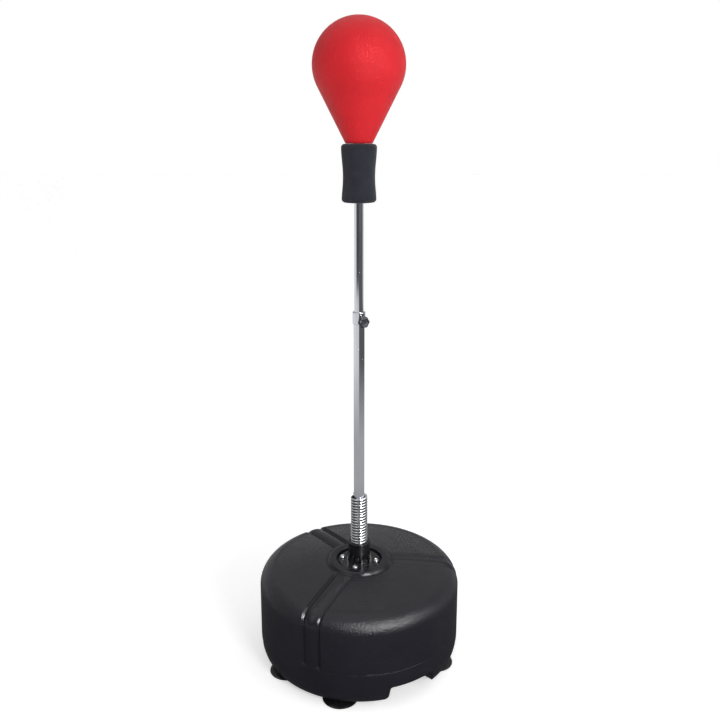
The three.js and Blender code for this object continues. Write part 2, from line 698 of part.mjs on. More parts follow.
function addBall(parent) {
  const tubeTop = UPPER_TUBE_TOP + GAP;
  const plugCap = 4;
  const plug = turned([
    [STUD_HOLE, -TOP_PLUG_LENGTH],
    [UPPER_TUBE_BORE - GAP, -TOP_PLUG_LENGTH],
    [UPPER_TUBE_BORE - GAP, 0],
    [UPPER_TUBE, 0],
    [UPPER_TUBE, plugCap],
    [STUD_HOLE, plugCap],
    [STUD_HOLE, -TOP_PLUG_LENGTH],
  ], 24);
  add(parent, 'top_plug', plug, STEEL).position.z = tubeTop;
  const stud = disc(STUD_RADIUS, 0, STUD_LENGTH, 16);
  add(parent, 'mount_stud', stud, STEEL).position.z = tubeTop + 2 - TOP_PLUG_LENGTH;
  const nutLow = tubeTop + plugCap + GAP;
  const nut = hexPrism(NUT_HEX, 0, NUT_HEIGHT).subtract(disc(STUD_HOLE, -1, NUT_HEIGHT + 1, 16));
  add(parent, 'jam_nut', nut, STEEL).position.z = nutLow;
  const washerLow = nutLow + NUT_HEIGHT + GAP;
  add(parent, 'mount_washer', sleeve(12, STUD_HOLE, 0, 2), STEEL).position.z = washerLow;
  const fittingLow = washerLow + 2 + GAP;
  const seat = NECK_END + COVER_THICKNESS + GAP - fittingLow; // the flange holds the cover from inside
  const fitting = turned([
    [0, 0],
    [FITTING_RADIUS, 0],
    [FITTING_RADIUS, seat],
    [FITTING_FLANGE, seat],
    [FITTING_FLANGE, seat + 4],
    [FITTING_RADIUS, seat + 6],
    [FITTING_RADIUS, FITTING_LENGTH],
    [0, FITTING_LENGTH],
  ], 24).subtract(disc(STUD_HOLE, -1, 42, 16));
  add(parent, 'ball_fitting', fitting, NYLON).position.z = fittingLow;
  const cover = hollowBall(0, COVER_THICKNESS, NECK_END, FITTING_RADIUS + GAP);
  add(parent, 'ball_cover', cover, BALL_LEATHER);
  add(parent, 'ball_bladder', bladderSolid(), BLADDER_RUBBER);
  const valve = add(parent, 'air_valve', sleeve(VALVE_RADIUS, VALVE_BORE, 0, VALVE_LENGTH, 12), RUBBER);
  valve.position.set(0, BALL_RADIUS - VALVE_LENGTH - GAP, BALL_CENTRE);
  valve.rotation.x = -Math.PI / 2;
  add(parent, 'foam_sleeve', foamSleeveSolid(), FOAM).position.z = SLEEVE_LOW;
}

// ---------------------------------------------------------------- assembly

add(stand, 'base_tank', tankSolid(), TANK_PLASTIC);
addFiller(stand);
addCups(stand);
addFlange(stand);
addSpringAnchor(stand);
addSpring(stand);
addLowerPole(stand);
addClamp(stand);
addUpperPole(stand);
addBall(stand);

export default stand;
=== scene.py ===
"""Looks of a free-standing reflex ball stand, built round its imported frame.

Metres, +Z up, the pole's axis through the origin, -Y to the front and +X to the right.
"""

import json
import math

import bmesh
import bpy
from mathutils import Matrix, Vector


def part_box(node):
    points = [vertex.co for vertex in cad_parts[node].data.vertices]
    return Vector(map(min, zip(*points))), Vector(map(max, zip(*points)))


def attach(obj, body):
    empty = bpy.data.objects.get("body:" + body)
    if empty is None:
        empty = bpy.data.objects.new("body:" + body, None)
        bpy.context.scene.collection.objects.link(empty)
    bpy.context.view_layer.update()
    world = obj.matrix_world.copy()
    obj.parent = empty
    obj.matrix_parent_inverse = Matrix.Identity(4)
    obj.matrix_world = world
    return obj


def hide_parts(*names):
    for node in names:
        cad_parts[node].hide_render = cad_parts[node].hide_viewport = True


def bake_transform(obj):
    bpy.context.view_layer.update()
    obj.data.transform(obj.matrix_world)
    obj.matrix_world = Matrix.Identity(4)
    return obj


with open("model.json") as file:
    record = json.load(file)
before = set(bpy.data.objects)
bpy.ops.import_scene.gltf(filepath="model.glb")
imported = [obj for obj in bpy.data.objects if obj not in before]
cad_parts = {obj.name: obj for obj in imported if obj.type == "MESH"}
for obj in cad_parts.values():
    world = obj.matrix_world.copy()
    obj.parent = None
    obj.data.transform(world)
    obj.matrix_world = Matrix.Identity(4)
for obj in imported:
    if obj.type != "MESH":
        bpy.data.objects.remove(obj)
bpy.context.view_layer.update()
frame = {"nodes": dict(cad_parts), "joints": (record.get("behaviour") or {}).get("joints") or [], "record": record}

# ---------------------------------------------------------------- places taken from the frame

TANK_LOW, TANK_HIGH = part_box("base_tank")
TANK_RADIUS = TANK_HIGH.y
TANK_BOTTOM = TANK_LOW.z
RING_TOP = TANK_HIGH.z
FLANGE_LOW, FLANGE_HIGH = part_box("socket_flange")
SPRING_LOW, SPRING_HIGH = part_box("main_spring")
LOWER_LOW, LOWER_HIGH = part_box("lower_tube")
UPPER_LOW, UPPER_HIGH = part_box("upper_tube")
COLLAR_LOW, COLLAR_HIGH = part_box("clamp_collar")
SLEEVE_LOW, SLEEVE_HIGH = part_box("foam_sleeve")
BALL_LOW, BALL_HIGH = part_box("ball_cover")
JOINTS = {joint["name"]: joint for joint in frame["joints"]}

# ---------------------------------------------------------------- tank, in metres and degrees

DOME_HEIGHT = 0.236
DOME_DROP = 0.014
SHOULDER = 0.038
SHOULDER_START = 82  # degrees above the horizontal, where the dome meets the shoulder
WALL_LOW = 0.060
EDGE_INSET = 0.020
RING_OUTER = 0.0725
RING_FOOT = 0.0772
RING_SUNK = 0.0016  # the ring's foot lies this far below the dome
GUTTER_END = RING_FOOT + 0.0045
DOME_START = RING_FOOT + 0.006
RECESS_RADIUS = 0.0545
RECESS_FLOOR = 0.229
CHANNELS = (-26.8, 93.2, 213.2)  # from the front towards the right
CHANNEL_HALF = 0.0196  # middle of a channel to the bottom of each groove
CHANNEL_DEPTH = 0.0056
CHANNEL_WALL = 0.0068
CHANNEL_CURVE = 2.4  # power by which the rib in a channel falls off to its grooves
CHANNEL_START_SOFT = 0.012
CHANNEL_END = 0.091  # grooves end this high on the side wall
CHANNEL_END_SOFT = 0.006
CREASE_HEIGHT = 0.0915
CREASE_DEPTH = 0.0007
CREASE_WIDTH = 0.0012
CLOSE_ROWS = (0.083, 0.100)  # heights on the wall between which its rows lie close together
GAPS = tuple(channel + 58 for channel in CHANNELS)
GAP_HALF = 13.5
GAP_SOFT = 1.3  # degrees over which a lug's end wall rounds
GAP_TOP = 0.051
GAP_INNER = 0.158
LUG_CORNER = 0.016  # height of a lug's rounded lower corners
LUG_CORNER_TURN = 2.4  # degrees that these corners take off its end
LUG_ROWS = 46
INNER_BOTTOM = 0.150
FILLER_HEIGHT = 0.158
FILLER_FLOOR = 0.227
FILLER_HOLE = 0.018
FILLER_HOLE_DEPTH = 0.030
FILLER_WINDOW = (0.118, 0.196)  # heights between which the wall opens for the filler's pocket
FILLER_WINDOW_TURN = 9.6  # degrees either side of the rear

# how coarse the moulded skin is, from 0 to 1 (the open dome and wall have 1)
RING_GRAIN = 0.12
CHANNEL_GRAIN = 0.15
RECESS_GRAIN = 0.2
FILLER_GRAIN = 0.5
UNDERSIDE_GRAIN = 0.6
LUG_GRAIN = 0.9

# ---------------------------------------------------------------- mesh helpers


def make(name, points, faces, grain_and_coil_shade=None):
    """A smooth mesh object from points and faces, without unused points, its faces pointing out."""
    used = sorted({i for face in faces for i in face})
    renumbered = {old: new for new, old in enumerate(used)}
    mesh = bpy.data.meshes.new(name)
    mesh.from_pydata(
        [tuple(points[i]) for i in used],
        [],
        [[renumbered[i] for i in face] for face in faces],
    )
    if grain_and_coil_shade is not None:
        # one per-point layer: how coarse the moulded skin is on the tank, and where the spring's painted shade
        # falls
        values = mesh.attributes.new("grain_and_coil_shade", "FLOAT", "POINT")
        values.data.foreach_set("value", [grain_and_coil_shade[i] for i in used])
    work = bmesh.new()
    work.from_mesh(mesh)
    bmesh.ops.recalc_face_normals(work, faces=work.faces)
    work.to_mesh(mesh)
    work.free()
    mesh.shade_smooth()
    made = bpy.data.objects.new(name, mesh)
    bpy.context.scene.collection.objects.link(made)
    return made


def skin(rows, first_cap=None, last_cap=None, ring=False):
    """Points and faces of a surface through rows, each a closed loop of the same count."""
    count = len(rows[0])
    points = [point for row in rows for point in row]
    pairs = [(j, j + 1) for j in range(len(rows) - 1)]
    if ring:
        pairs.append((len(rows) - 1, 0))
    faces = []
    for low, high in pairs:
        for i in range(count):
            after = (i + 1) % count
            faces.append((low * count + i, low * count + after, high * count + after, high * count + i))
    for cap, row in ((first_cap, 0), (last_cap, len(rows) - 1)):
        if cap is None:
            continue
        points.append(cap)
        middle = len(points) - 1
        for i in range(count):
            faces.append((row * count + i, row * count + (i + 1) % count, middle))
    return points, faces


def rounded(corners, steps=5, closed=False):
    """Points of an outline whose corners (x, y, radius) are rounded by arcs."""
    outline = []
    for i, (x, y, radius) in enumerate(corners):
        at_end = not closed and i in (0, len(corners) - 1)
        if radius == 0 or at_end:
            outline.append((x, y))
            continue
        here = Vector((x, y))
        before = (Vector(corners[i - 1][:2]) - here).normalized()
        after = (Vector(corners[(i + 1) % len(corners)][:2]) - here).normalized()
        half = before.angle(after) / 2
        start = here + before * radius / math.tan(half)
        end = here + after * radius / math.tan(half)
        centre = here + (before + after).normalized() * radius / math.sin(half)
        first = math.atan2(start.y - centre.y, start.x - centre.x)
        last = math.atan2(end.y - centre.y, end.x - centre.x)
        turn = (last - first + math.pi) % math.tau - math.pi
        for k in range(steps + 1):
            angle = first + turn * k / steps
            outline.append((centre.x + radius * math.cos(angle), centre.y + radius * math.sin(angle)))
    return outline


def circle(radius, height, sides):
    angles = [math.tau * i / sides for i in range(sides)]
    return [(radius * math.cos(a), radius * math.sin(a), height) for a in angles]


def turned(name, profile, sides=96, ring=False):
    """A body of revolution about Z from (radius, height) points."""
    first = (0, 0, profile[0][1]) if profile[0][0] < 1e-9 else None
    last = (0, 0, profile[-1][1]) if profile[-1][0] < 1e-9 else None
    inner = profile[1 if first else 0:len(profile) - 1 if last else len(profile)]
    points, faces = skin([circle(r, z, sides) for r, z in inner], first, last, ring)
    return make(name, points, faces)


def join(name, pieces):
    """One object from several, kept under the first one's place."""
    with bpy.context.temp_override(
        active_object=pieces[0],
        selected_editable_objects=pieces,
    ):
        bpy.ops.object.join()
    pieces[0].name = name
    return pieces[0]


def place(obj, matrix):
    obj.data.transform(matrix)
    return obj


def bevelled(obj, width, segments=3):
    bevel = obj.modifiers.new("bevel", "BEVEL")
    bevel.width = width
    bevel.segments = segments
    bevel.limit_method = "ANGLE"
    bevel.angle_limit = math.radians(35)
    bevel.harden_normals = True
    return obj


def flat_faces_stay_flat(obj):
    weighted = obj.modifiers.new("weighted normals", "WEIGHTED_NORMAL")
    weighted.keep_sharp = True
    return obj


def band(inner, outer, low, high, radii, steps=4):
    """The outline of a turned ring. The radii go inner low, outer low, outer high, inner high."""
    corners = ((inner, low), (outer, low), (outer, high), (inner, high))
    return rounded([(x, z, radius) for (x, z), radius in zip(corners, radii)], steps, closed=True)


def prism(name, outline, low, high):
    """A closed prism along Z from (x, y) points."""
    rows = [[(x, y, z) for x, y in outline] for z in (low, high)]
    points, faces = skin(rows)
    count = len(outline)
    faces.append(tuple(range(count)))
    faces.append(tuple(range(count, 2 * count)))
    return make(name, points, faces)


def applied(obj):
    """The same object with its modifiers applied."""
    graph = bpy.context.evaluated_depsgraph_get()
    mesh = bpy.data.meshes.new_from_object(obj.evaluated_get(graph))
    obj.modifiers.clear()
    obj.data = mesh
    return obj


def cut(obj, cutter):
    work = obj.modifiers.new("cut", "BOOLEAN")
    work.operation = "DIFFERENCE"
    work.object = cutter
    work.solver = "EXACT"
    applied(obj)
    bpy.data.objects.remove(cutter)


def blend_step(value, low, high):
    """A smooth step from 0 at low to 1 at high."""
    t = min(1, max(0, (value - low) / (high - low)))
    return t * t * (3 - 2 * t)


def between(a, b, share):
    return a + (b - a) * share


def from_front(degrees):
    angle = math.radians(degrees)
    return Vector((math.sin(angle), -math.cos(angle), 0))


def apart(a, b):
    """Degrees between two directions, with its sign."""
    return (a - b + 180) % 360 - 180


# ---------------------------------------------------------------- materials


class Tree:
    """A short way to write a node tree."""

    def __init__(self, tree):
        self.tree = tree

    def add(self, kind, **settings):
        node = self.tree.nodes.new(kind)
        for key, value in settings.items():
            setattr(node, key, value)
        return node

    def link(self, source, target):
        self.tree.links.new(source, target)

    def fill(self, socket, value):
        """Gives a socket a number or links an output to it."""
        if isinstance(value, (int, float)):
            socket.default_value = value
        else:
            self.link(value, socket)

    def ranged(self, value, low, high, to_low, to_high, curve="LINEAR"):
        node = self.add("ShaderNodeMapRange", interpolation_type=curve)
        ends = {"From Min": low, "From Max": high, "To Min": to_low, "To Max": to_high}
        for key, number in ends.items():
            node.inputs[key].default_value = number
        self.link(value, node.inputs["Value"])
        return node.outputs["Result"]

    def maths(self, operation, a, b):
        node = self.add("ShaderNodeMath", operation=operation)
        self.fill(node.inputs[0], a)
        self.fill(node.inputs[1], b)
        return node.outputs["Value"]

    def mixed(self, share, a, b):
        """Number a where share is 0 and b where it is 1."""
        rest = self.maths("SUBTRACT", 1, share)
        return self.maths("ADD", self.maths("MULTIPLY", rest, a), self.maths("MULTIPLY", share, b))

    def either(self, share, a, b):
        """Shader a where share is 0 and b where it is 1."""
        node = self.add("ShaderNodeMixShader")
        for source, socket in zip((share, a, b), node.inputs):
            self.link(source, socket)
        return node.outputs["Shader"]


class Nodes(Tree):
    """The tree of a new material, with its shader and the object's own coordinates."""

    def __init__(self, name):
        self.material = bpy.data.materials.new(name)
        self.material.use_nodes = True
        super().__init__(self.material.node_tree)
        self.shader = self.tree.nodes["Principled BSDF"]
        self.object = self.add("ShaderNodeTexCoord").outputs["Object"]

    def set(self, **values):
        for key, value in values.items():
            self.shader.inputs[key.replace("_", " ")].default_value = value

    def stretched(self, x, y, z):
        mapping = self.add("ShaderNodeMapping")
        mapping.inputs["Scale"].default_value = (x, y, z)
        self.link(self.object, mapping.inputs["Vector"])
        return mapping.outputs["Vector"]

    def noise(self, scale, detail, roughness=0.5, vector=None):
        node = self.add("ShaderNodeTexNoise")
        node.inputs["Scale"].default_value = scale
        node.inputs["Detail"].default_value = detail
        node.inputs["Roughness"].default_value = roughness
        self.link(vector or self.object, node.inputs["Vector"])
        return node.outputs["Fac"]

    def cells(self, scale):
        node = self.add("ShaderNodeTexVoronoi")
        node.inputs["Scale"].default_value = scale
        self.link(self.object, node.inputs["Vector"])
        return node.outputs["Distance"]

    def colours(self, share, *stops):
        """A base colour between two stops of (place, (red, green, blue))."""
        node = self.add("ShaderNodeValToRGB")
        for element, (at, colour) in zip(node.color_ramp.elements, stops):
            element.position = at
            element.color = (*colour, 1)
        self.link(share, node.inputs["Fac"])
        self.link(node.outputs["Color"], self.shader.inputs["Base Color"])

    def rough(self, share, low, high):
        self.link(self.ranged(share, 0.3, 0.7, low, high), self.shader.inputs["Roughness"])

    def bump(self, height, strength, distance, under=None):
        node = self.add("ShaderNodeBump")
        node.inputs["Distance"].default_value = distance
        self.fill(node.inputs["Strength"], strength)
        self.link(height, node.inputs["Height"])
        if under is not None:
            self.link(under, node.inputs["Normal"])
        self.link(node.outputs["Normal"], self.shader.inputs["Normal"])
        return node.outputs["Normal"]


def tank_plastic():
    """Blow-moulded polyethylene: an orange-peel skin, smoother in the channels and on the ring."""
    m = Nodes("tank_plastic")
    grain_and_coil_shade = m.add("ShaderNodeAttribute", attribute_name="grain_and_coil_shade").outputs["Fac"]
    patches = m.noise(9, 3)
    m.colours(patches, (0.3, (0.0122, 0.0122, 0.0172)), (0.7, (0.0158, 0.0158, 0.0215)))
    peel = m.noise(240, 2, 0.6)
    fine = m.noise(900, 2)
    skin_height = m.maths("ADD", peel, m.maths("MULTIPLY", fine, 0.3))
    worn = m.ranged(m.noise(30, 4), 0.3, 0.7, 0.11, 0.16)
    smooth = m.maths("MULTIPLY", m.maths("SUBTRACT", 1, grain_and_coil_shade), 0.09)
    m.link(m.maths("ADD", worn, smooth), m.shader.inputs["Roughness"])
    waves = m.bump(m.noise(22, 2), 0.25, 0.002)
    m.bump(skin_height, m.ranged(grain_and_coil_shade, 0, 1, 0.05, 1.0), 0.0015, waves)
    m.set(Specular_IOR_Level=0.30)
    return m.material


def gloss_plastic():
    m = Nodes("gloss_plastic")
    m.colours(m.noise(40, 2), (0.3, (0.006, 0.006, 0.007)), (0.7, (0.010, 0.010, 0.012)))
    m.rough(m.noise(160, 3), 0.12, 0.24)
    m.bump(m.noise(260, 3), 0.25, 0.0004)
    m.set(Specular_IOR_Level=0.5)
    return m.material


def knob_plastic():
    m = Nodes("knob_plastic")
    m.colours(m.noise(120, 2), (0.3, (0.018, 0.020, 0.028)), (0.7, (0.027, 0.030, 0.040)))
    m.rough(m.noise(300, 2), 0.30, 0.42)
    m.bump(m.noise(900, 2), 0.3, 0.0002)
    return m.material


def plain_rubber(name, dark, light, roughness):
    m = Nodes(name)
    m.colours(m.noise(60, 3), (0.3, dark), (0.7, light))
    m.rough(m.noise(140, 3), roughness, roughness + 0.15)
    m.bump(m.noise(700, 3), 0.25, 0.0002)
    return m.material


def chrome(name, low, high, colour):
    """Bright plate over drawn steel: faint streaks along the tube and soft handling marks."""
    m = Nodes(name)
    streaks = m.noise(60, 4, vector=m.stretched(14, 14, 0.5))
    shade = tuple(0.93 * c for c in colour)
    m.colours(streaks, (0.35, shade), (0.65, colour))
    handling = m.noise(14, 5)
    marks = m.maths("ADD", m.maths("MULTIPLY", streaks, 0.5), m.maths("MULTIPLY", handling, 0.5))
    m.rough(marks, low, high)
    m.bump(streaks, 0.04, 0.0001)
    m.set(Metallic=1)
    return m.material


def sprung_chrome():
    """Plate on spring wire, bright outside, and dull and painted near black between the coils as painted shade of
    the crevices.
    """
    m = Nodes("spring_chrome")
    bright = m.add("ShaderNodeAttribute", attribute_name="grain_and_coil_shade").outputs["Fac"]
    patches = m.maths("MULTIPLY", m.maths("SUBTRACT", m.noise(150, 3), 0.5), 0.2)
    uneven = m.maths("ADD", bright, patches)
    # painted shade: the dark stop darkens the wire between the coils as if shaded there; the bright stop is the
    # plate's own colour
    m.colours(uneven, (0.05, (0.035, 0.036, 0.040)), (0.9, (0.90, 0.91, 0.94)))
    m.link(m.ranged(uneven, 0, 1, 0.40, 0.09), m.shader.inputs["Roughness"])
    m.bump(m.noise(500, 2), 0.1, 0.0001)
    m.set(Metallic=1)
    return m.material


def plated_steel(name, colour):
    m = Nodes(name)
    shade = tuple(0.75 * c for c in colour)
    m.colours(m.noise(90, 4), (0.3, shade), (0.7, colour))
    m.rough(m.noise(220, 3), 0.25, 0.42)
    m.bump(m.noise(600, 3), 0.3, 0.0001)
    m.set(Metallic=1)
    return m.material


def nylon():
    m = Nodes("nylon")
    m.colours(m.noise(70, 2), (0.3, (0.70, 0.68, 0.60)), (0.7, (0.79, 0.77, 0.70)))
    m.rough(m.noise(200, 2), 0.38, 0.5)
    m.bump(m.noise(500, 2), 0.2, 0.0002)
    m.set(Subsurface_Weight=0.1)
    return m.material


def foam():
    """Closed-cell foam with a fine matte skin of small pores."""
    m = Nodes("foam")
    m.colours(m.noise(35, 4), (0.3, (0.017, 0.018, 0.026)), (0.7, (0.023, 0.024, 0.033)))
    m.rough(m.noise(120, 3), 0.86, 0.97)
    pores = m.cells(1400)
    cloud = m.bump(m.noise(60, 3), 0.3, 0.0012)
    m.bump(m.maths("ADD", pores, m.noise(800, 3)), 0.5, 0.00035, cloud)
    m.set(Sheen_Weight=0.12, Sheen_Roughness=0.5, Specular_IOR_Level=0.2)
    return m.material


def ball_leather():
    """Coated leather: fine pebbles, a little uneven in colour."""
    m = Nodes("ball_leather")
    broad = m.maths("MULTIPLY", m.noise(11, 4), 0.7)
    tone = m.maths("ADD", broad, m.maths("MULTIPLY", m.noise(330, 2), 0.3))
    m.colours(tone, (0.35, (0.60, 0.012, 0.019)), (0.65, (0.71, 0.017, 0.025)))
    m.rough(m.noise(90, 4), 0.46, 0.58)
    pebbles = m.cells(560)
    soft = m.bump(m.noise(45, 3), 0.2, 0.001)
    m.bump(m.maths("ADD", pebbles, m.noise(900, 2)), 0.6, 0.0007, soft)
    m.set(Sheen_Weight=0.05, Sheen_Roughness=0.4, Specular_IOR_Level=0.22)
    return m.material


LOOKS = {
    "tank_plastic": tank_plastic(),
    "gloss_plastic": gloss_plastic(),
    "knob_plastic": knob_plastic(),
    "nylon": nylon(),
    "tube_chrome": chrome("tube_chrome", 0.05, 0.12, (0.78, 0.79, 0.85)),
    "spring_chrome": sprung_chrome(),
    "bolt_chrome": chrome("bolt_chrome", 0.10, 0.18, (0.62, 0.63, 0.66)),
    "steel": plated_steel("steel", (0.50, 0.51, 0.53)),
    "brass": plated_steel("brass", (0.60, 0.44, 0.20)),
    "rubber": plain_rubber("rubber", (0.004, 0.004, 0.005), (0.007, 0.007, 0.008), 0.26),
    "foam": foam(),
    "ball_leather": ball_leather(),
    "bladder_rubber": plain_rubber(
        "bladder_rubber", (0.045, 0.036, 0.032), (0.06, 0.05, 0.045), 0.55
    ),
}


def finish_piece(obj, body, slot, *nodes):
    """Gives a piece its material, its CAD body and the CAD nodes that it stands for."""
    obj.data.materials.clear()
    obj.data.materials.append(LOOKS[slot])
    if nodes:
        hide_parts(*nodes)
    if body:
        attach(obj, body)


# ---------------------------------------------------------------- tank


def tank_angles():
    """Directions round the tank, closer together where a channel or the end of a foot lug runs."""
    fine, coarse = 0.36, 1.25
    channel_reach, lug_end_reach = 15.5, 3.6
    angles = [0.0]
    while True:
        here = angles[-1]
        by_channel = min(abs(apart(here, channel)) for channel in CHANNELS) < channel_reach
        by_lug_end = min(abs(abs(apart(here, gap)) - GAP_HALF - 1) for gap in GAPS) < lug_end_reach
        step = fine if by_channel or by_lug_end else coarse
        if here + step > 360 - fine / 2:
            return angles
        angles.append(here + step)


def resampled(path, count):
    """count + 1 points spread evenly along a path."""
    lengths = [0]
    for a, b in zip(path, path[1:]):
        lengths.append(lengths[-1] + math.dist(a, b))
    result = []
    part = 0
    for k in range(count + 1):
        at = lengths[-1] * k / count
        while part < len(path) - 2 and lengths[part + 1] < at:
            part += 1
        share = (at - lengths[part]) / (lengths[part + 1] - lengths[part])
        result.append(tuple(between(a, b, share) for a, b in zip(path[part], path[part + 1])))
    return result


def dome_height(radius):
    return DOME_HEIGHT - DOME_DROP * (radius / (TANK_RADIUS - SHOULDER)) ** 2


def upper_profile():
    """(radius, height) points from the middle of the recess to the foot of the side wall."""
    path = rounded([
        (0.002, RECESS_FLOOR, 0),
        (RECESS_RADIUS, RECESS_FLOOR, 0.0015),
        (RECESS_RADIUS, RING_TOP, 0.0040),
        (RING_OUTER, RING_TOP, 0.0050),
        (RING_FOOT, dome_height(RING_FOOT) - RING_SUNK, 0.0012),
        (GUTTER_END, dome_height(GUTTER_END), 0.003),
        (DOME_START, dome_height(DOME_START), 0),
    ])
    shoulder_radius = TANK_RADIUS - SHOULDER
    shoulder_height = DOME_HEIGHT - DOME_DROP - SHOULDER
    dome_end = shoulder_radius + SHOULDER * math.cos(math.radians(SHOULDER_START)) - 0.003
    dome_rows = 34
    for k in range(1, dome_rows + 1):
        radius = between(DOME_START, dome_end, k / dome_rows)
        path.append((radius, dome_height(radius)))
    shoulder_rows = 26
    for k in range(shoulder_rows + 1):
        angle = math.radians(SHOULDER_START * (1 - k / shoulder_rows))
        radius = shoulder_radius + SHOULDER * math.cos(angle)
        path.append((radius, shoulder_height + SHOULDER * math.sin(angle)))
    close, far = 0.001, 0.004
    height = shoulder_height
    while height > WALL_LOW + far:
        height -= close if CLOSE_ROWS[0] < height < CLOSE_ROWS[1] else far
        path.append((TANK_RADIUS, height))
    return path


def lug_profile():
    """From the side wall round the lower edge of a foot lug to the underside."""
    path = [(TANK_RADIUS, WALL_LOW)]
    steps = 16
    for k in range(1, steps + 1):
        angle = math.radians(90 * k / steps)
        radius = TANK_RADIUS - EDGE_INSET + EDGE_INSET * math.cos(angle)
        path.append((radius, WALL_LOW - (WALL_LOW - TANK_BOTTOM) * math.sin(angle)))
    path.append((INNER_BOTTOM, TANK_BOTTOM))
    return path


def gap_profile():
    """The same way where the gap between two lugs is cut up into the tank."""
    return rounded([
        (TANK_RADIUS, WALL_LOW, 0),
        (TANK_RADIUS - 0.0006, GAP_TOP, 0.0025),
        (GAP_INNER, GAP_TOP, 0.005),
        (GAP_INNER, TANK_BOTTOM, 0.003),
        (INNER_BOTTOM, TANK_BOTTOM, 0),
    ])


def channel_offset(radius, turn):
    """Distance from the middle plane of the nearest channel."""
    nearest = min((apart(turn, channel) for channel in CHANNELS), key=abs)
    return abs(radius * math.sin(math.radians(nearest)))


def channel_drop(offset):
    """Depth at a distance from a channel's middle: a convex rib between two grooves."""
    if offset < CHANNEL_HALF:
        return CHANNEL_DEPTH * (offset / CHANNEL_HALF) ** CHANNEL_CURVE
    return CHANNEL_DEPTH * (1 - blend_step(offset, CHANNEL_HALF, CHANNEL_HALF + CHANNEL_WALL))


def upper_rows(angles):
    """Rows of points from the recess to the foot of the side wall, and the grain at each point."""
    profile = upper_profile()
    channel_edge = CHANNEL_HALF + CHANNEL_WALL
    rows = []
    grains = []
    for j, (radius, height) in enumerate(profile):
        before = Vector(profile[max(j - 1, 0)])
        after = Vector(profile[min(j + 1, len(profile) - 1)])
        along = (after - before).normalized()
        outward = Vector((-along.y, along.x))
        start = blend_step(radius, RING_FOOT, RING_FOOT + CHANNEL_START_SOFT)
        fade = blend_step(height, CHANNEL_END, CHANNEL_END + CHANNEL_END_SOFT)
        crease = CREASE_DEPTH * math.exp(-(((height - CREASE_HEIGHT) / CREASE_WIDTH) ** 2))
        row = []
        grain_and_coil_shade = []
        for turn in angles:
            drop = 0.0
            rough = RING_GRAIN
            if radius > RING_FOOT:
                offset = channel_offset(radius, turn)
                drop = channel_drop(offset) * fade * start + crease
                near = 1 - blend_step(offset, channel_edge, channel_edge + 0.002)
                rough = between(1.0, CHANNEL_GRAIN, near * fade)
            lifted = Vector((0, 0, height - outward.y * drop))
            row.append(from_front(turn) * (radius - outward.x * drop) + lifted)
            grain_and_coil_shade.append(rough)
        rows.append(row)
        grains.append(grain_and_coil_shade)
    return rows, grains


def lower_rows(angles):
    """Rows from the foot of the side wall round the lugs and gaps to the underside, and their grain."""
    rows = []
    grains = []
    lug = resampled(lug_profile(), LUG_ROWS)
    gap = resampled(gap_profile(), LUG_ROWS)
    for on_lug, in_gap in zip(lug, gap):
        low_edge = 1 - min(1, (on_lug[1] - TANK_BOTTOM) / LUG_CORNER)
        half = GAP_HALF + LUG_CORNER_TURN * low_edge ** 2
        row = []
        for turn in angles:
            off = min(abs(apart(turn, middle)) for middle in GAPS)
            share = 1 - blend_step(off, half - GAP_SOFT, half + GAP_SOFT)
            radius, height = (between(a, b, share) for a, b in zip(on_lug, in_gap))
            row.append(from_front(turn) * radius + Vector((0, 0, height)))
        rows.append(row)
        grains.append([LUG_GRAIN] * len(angles))
    for radius in (0.11, 0.06, 0.02):
        rows.append([from_front(turn) * radius + Vector((0, 0, TANK_BOTTOM)) for turn in angles])
        grains.append([UNDERSIDE_GRAIN] * len(angles))
    return rows, grains


def filler_rings(loop):
    """Rows that lead from a loop on the rear wall into the round pocket and the hole in its floor."""
    lip = [(0.0335, 0), (0.0312, 0.0001), (0.0298, 0.0007), (0.0291, 0.0022)]
    pocket = [
        (0.0290, 0.0025),
        (0.0284, 0.0006),
        (0.0268, 0),
        (0.0196, 0),
        (0.0184, -0.0006),
        (FILLER_HOLE, -0.0018),
        (FILLER_HOLE, -FILLER_HOLE_DEPTH),
    ]
    turns = [math.atan2(point.z - FILLER_HEIGHT, point.x) for point in loop]
    rows = []
    for radius, sunk in lip:
        row = []
        for turn in turns:
            x = radius * math.cos(turn)
            y = math.sqrt(TANK_RADIUS ** 2 - x ** 2) - sunk
            row.append(Vector((x, y, FILLER_HEIGHT + radius * math.sin(turn))))
        rows.append(row)
    for radius, above in pocket:
        row = []
        for turn in turns:
            x, z = radius * math.cos(turn), radius * math.sin(turn)
            row.append(Vector((x, FILLER_FLOOR + above, FILLER_HEIGHT + z)))
        rows.append(row)
    return rows


